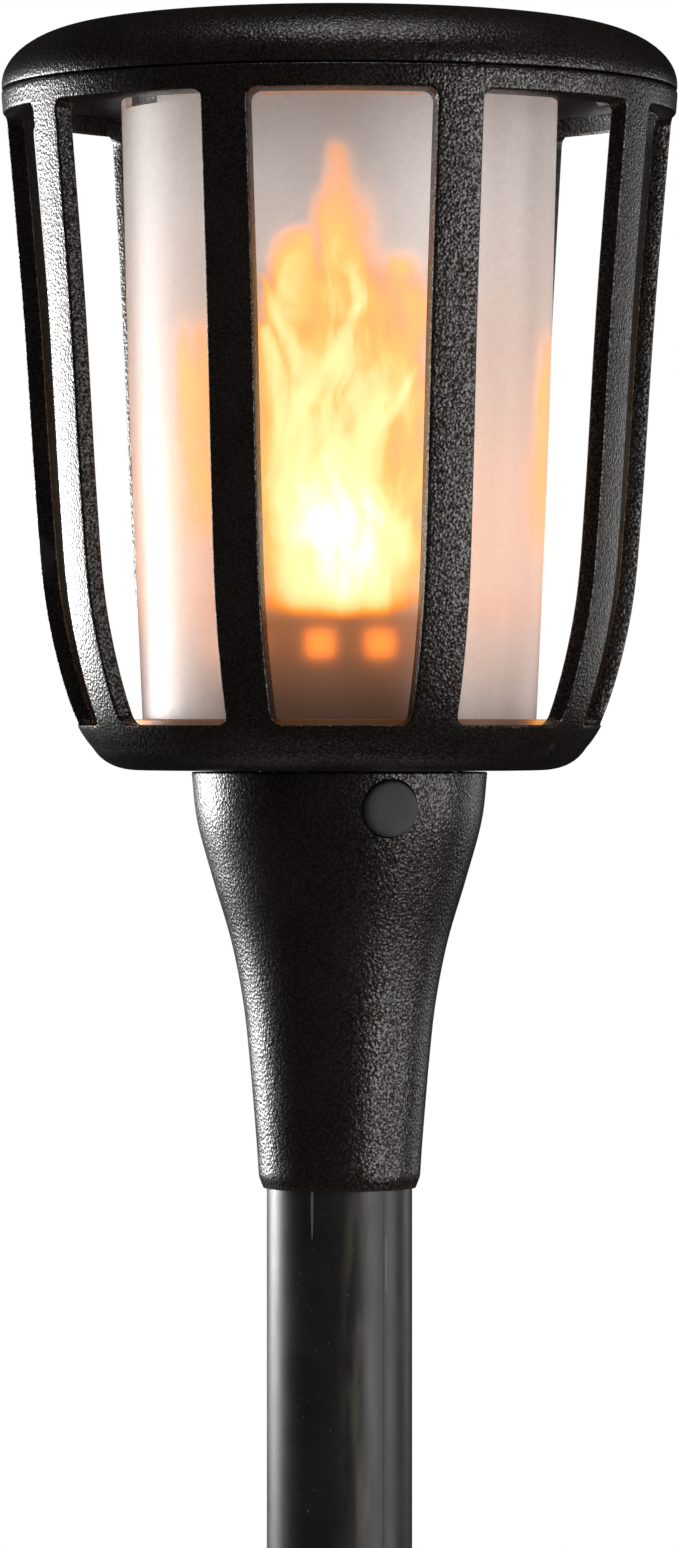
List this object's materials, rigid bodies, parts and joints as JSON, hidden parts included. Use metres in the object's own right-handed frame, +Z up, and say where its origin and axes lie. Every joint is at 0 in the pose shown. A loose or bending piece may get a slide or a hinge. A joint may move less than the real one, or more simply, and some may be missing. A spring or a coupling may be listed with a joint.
{
  "type": "solar flame torch",
  "caption": "Solar flame torch on a stake: slatted cage round a frosted tube with an LED flame core, domed lid with a panel, flared neck with a push button, pole that pulls apart.",
  "frame": {"origin": "on the torch's axis at ground level, where the underside of the stake's collar rests on the soil", "axes": "+Z up along the pole, -Y towards the push button, +X to the right seen from the button's side"},
  "size_m": [0.13, 0.13, 0.7813],
  "materials": {
    "smooth_black": "smooth semi-gloss",
    "grained_black": "fine spark-eroded grain",
    "button_rubber": "matte",
    "circuit_board": "solder mask",
    "switch_black": "moulded",
    "bright_metal": "plated",
    "core_black": "moulded",
    "carrier_white": "moulded",
    "led_board": "lit LEDs",
    "connector_black": "moulded",
    "cell_wrap": "shrink wrap",
    "foam": "closed-cell foam",
    "red_sheath": "insulation",
    "black_sheath": "insulation",
    "screw_steel": "zinc plated",
    "frosted_diffuser": "frosted translucent",
    "gasket_rubber": "matte",
    "solar_cells": "dark cells with fine silver lines",
    "clear_window": "clear"
  },
  "bodies": {
    "stake": {"stake": "smooth_black"},
    "lower_pole": {"lower_pole": "smooth_black", "pole_coupler": "smooth_black"},
    "upper_pole": {"upper_pole": "smooth_black"},
    "head": {"neck_housing": "grained_black", "control_board": "circuit_board", "tact_switch": "switch_black", "cage": "grained_black", "core_base": "core_black", "led_carrier": "carrier_white", "led_array": "led_board", "core_cap": "core_black", "lead_socket": "connector_black", "battery": "cell_wrap", "battery_pad_lower": "foam", "battery_pad_upper": "foam", "panel_lead": "red_sheath", "battery_lead": "black_sheath", "head_screw_1": "screw_steel", "head_screw_2": "screw_steel", "head_screw_3": "screw_steel", "board_screw_1": "screw_steel", "board_screw_2": "screw_steel"},
    "button": {"button": "button_rubber"},
    "switch_plunger": {"switch_plunger": "bright_metal"},
    "diffuser": {"diffuser": "frosted_diffuser"},
    "lid": {"lid_shell": "grained_black", "lid_base": "grained_black", "panel_gasket": "gasket_rubber", "solar_panel": "solar_cells", "panel_window": "clear_window", "lead_plug": "bright_metal", "lid_lead": "red_sheath", "lid_screw_1": "screw_steel", "lid_screw_2": "screw_steel", "lid_screw_3": "screw_steel"}
  },
  "joints": [
    {"name": "lower_pole_lift", "type": "slide", "parent": "stake", "child": "lower_pole", "axis": [0, 0, 1], "range_m": [0, 0.045]},
    {"name": "upper_pole_lift", "type": "slide", "parent": "lower_pole", "child": "upper_pole", "axis": [0, 0, 1], "range_m": [0, 0.045]},
    {"name": "head_lift", "type": "slide", "parent": "upper_pole", "child": "head", "axis": [0, 0, 1], "range_m": [0, 0.055]},
    {"name": "button_press", "type": "slide", "parent": "head", "child": "button", "axis": [0, 1, 0], "range_m": [0, 0.0008], "stiffness_N_per_m": 800},
    {"name": "plunger_press", "type": "slide", "parent": "head", "child": "switch_plunger", "axis": [0, 1, 0], "range_m": [0, 0.0004]},
    {"name": "diffuser_lift", "type": "slide", "parent": "head", "child": "diffuser", "axis": [0, 0, 1], "range_m": [0, 0.135]},
    {"name": "lid_twist", "type": "hinge", "parent": "diffuser", "child": "lid", "pos_m": [0, 0, 0.617], "axis": [0, 0, 1], "range_deg": [0, 15]}
  ],
  "couplings": [
    {"joint": "plunger_press", "follows": "button_press", "ratio": 0.5}
  ]
}
